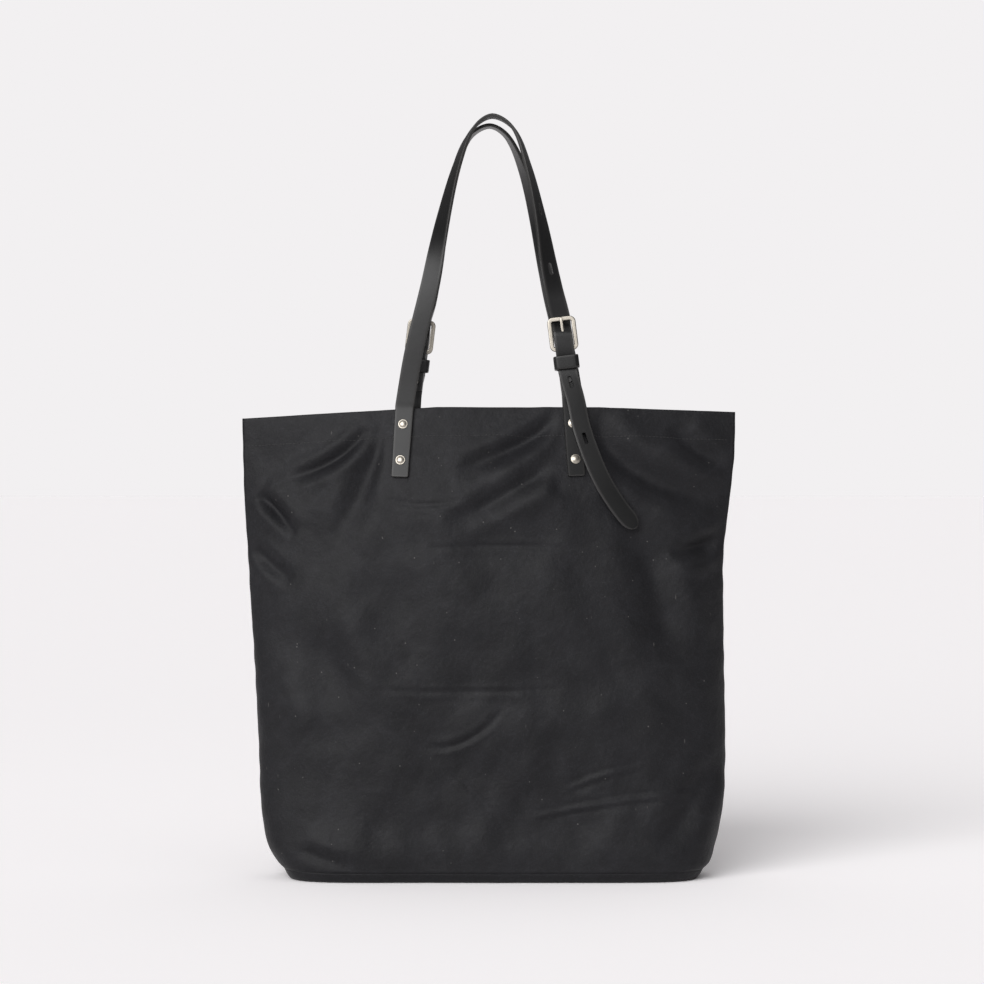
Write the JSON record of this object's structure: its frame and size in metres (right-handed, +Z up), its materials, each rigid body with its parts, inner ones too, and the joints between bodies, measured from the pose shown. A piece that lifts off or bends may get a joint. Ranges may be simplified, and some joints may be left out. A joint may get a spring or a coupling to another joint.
{
  "type": "canvas tote bag",
  "caption": "Open-topped canvas tote bag with a flat base and two buckled, adjustable leather handles riveted to its walls.",
  "frame": {"origin": "on the floor under the middle of the bag", "axes": "+Z up, -Y the front, +X to the right seen from the front"},
  "size_m": [0.457, 0.1002, 0.7045],
  "materials": {
    "canvas": "black waxed cotton canvas, faint mottling",
    "hem_canvas": "inside of the same canvas",
    "binding_tape": "woven black cotton tape",
    "leather": "black vegetable-tanned bridle leather, bevelled and burnished edges",
    "nickel": "satin nickel plate"
  },
  "bodies": {
    "bag": {"front_panel": "canvas", "back_panel": "canvas", "base_panel": "canvas", "front_facing": "hem_canvas", "back_facing": "hem_canvas", "left_side_binding": "binding_tape", "right_side_binding": "binding_tape", "base_binding": "binding_tape", "inner_pocket": "hem_canvas", "front_strap_anchor": "leather", "front_chape_anchor": "leather", "front_rivet_caps": "nickel", "front_rivet_posts": "nickel", "front_strap_patch": "leather", "front_chape_patch": "leather", "back_strap_anchor": "leather", "back_chape_anchor": "leather", "back_rivet_caps": "nickel", "back_rivet_posts": "nickel", "back_strap_patch": "leather", "back_chape_patch": "leather"},
    "front_handle": {"front_strap_loop": "leather", "front_chape_upper": "leather", "front_chape_rivet_cap": "nickel", "front_chape_rivet_post": "nickel"},
    "front_tail": {"front_strap_tail": "leather"},
    "front_buckle": {"front_buckle_frame": "nickel"},
    "front_prong": {"front_buckle_prong": "nickel"},
    "front_keeper_loop": {"front_keeper": "leather"},
    "back_handle": {"back_strap_loop": "leather", "back_chape_upper": "leather", "back_chape_rivet_cap": "nickel", "back_chape_rivet_post": "nickel"},
    "back_tail": {"back_strap_tail": "leather"},
    "back_buckle": {"back_buckle_frame": "nickel"},
    "back_prong": {"back_buckle_prong": "nickel"},
    "back_keeper_loop": {"back_keeper": "leather"}
  },
  "joints": [
    {"name": "front_handle_swing", "type": "hinge", "parent": "bag", "child": "front_handle", "pos_m": [0, -0.029, 0.437], "axis": [1, 0, 0], "range_deg": [0, 140]},
    {"name": "front_tail_hang", "type": "hinge", "parent": "front_handle", "child": "front_tail", "pos_m": [0.07046, -0.0307, 0.46709], "axis": [1, 0, 0], "range_deg": [-140, 0]},
    {"name": "front_buckle_tilt", "type": "hinge", "parent": "front_handle", "child": "front_buckle", "pos_m": [0.0678, -0.0215, 0.4888], "axis": [0.9925, 0, 0.1219], "range_deg": [0, 4]},
    {"name": "front_prong_lift", "type": "hinge", "parent": "front_buckle", "child": "front_prong", "pos_m": [0.0678, -0.0215, 0.4888], "axis": [0.9925, 0, 0.1219], "range_deg": [0, 3.5]},
    {"name": "front_keeper_slide", "type": "slide", "parent": "front_handle", "child": "front_keeper_loop", "axis": [-0.1217, 0.0499, 0.9913], "range_m": [-0.0015, 0.001]},
    {"name": "back_handle_swing", "type": "hinge", "parent": "bag", "child": "back_handle", "pos_m": [0, 0.029, 0.437], "axis": [-1, 0, 0], "range_deg": [0, 140]},
    {"name": "back_tail_hang", "type": "hinge", "parent": "back_handle", "child": "back_tail", "pos_m": [-0.07046, 0.0307, 0.46709], "axis": [-1, 0, 0], "range_deg": [-140, 0]},
    {"name": "back_buckle_tilt", "type": "hinge", "parent": "back_handle", "child": "back_buckle", "pos_m": [-0.0678, 0.0215, 0.4888], "axis": [-0.9925, 0, 0.1219], "range_deg": [0, 4]},
    {"name": "back_prong_lift", "type": "hinge", "parent": "back_buckle", "child": "back_prong", "pos_m": [-0.0678, 0.0215, 0.4888], "axis": [-0.9925, 0, 0.1219], "range_deg": [0, 3.5]},
    {"name": "back_keeper_slide", "type": "slide", "parent": "back_handle", "child": "back_keeper_loop", "axis": [0.1217, -0.0499, 0.9913], "range_m": [-0.0015, 0.001]}
  ],
  "couplings": [
    {"joint": "front_tail_hang", "follows": "front_handle_swing", "ratio": -1},
    {"joint": "back_tail_hang", "follows": "back_handle_swing", "ratio": -1}
  ]
}
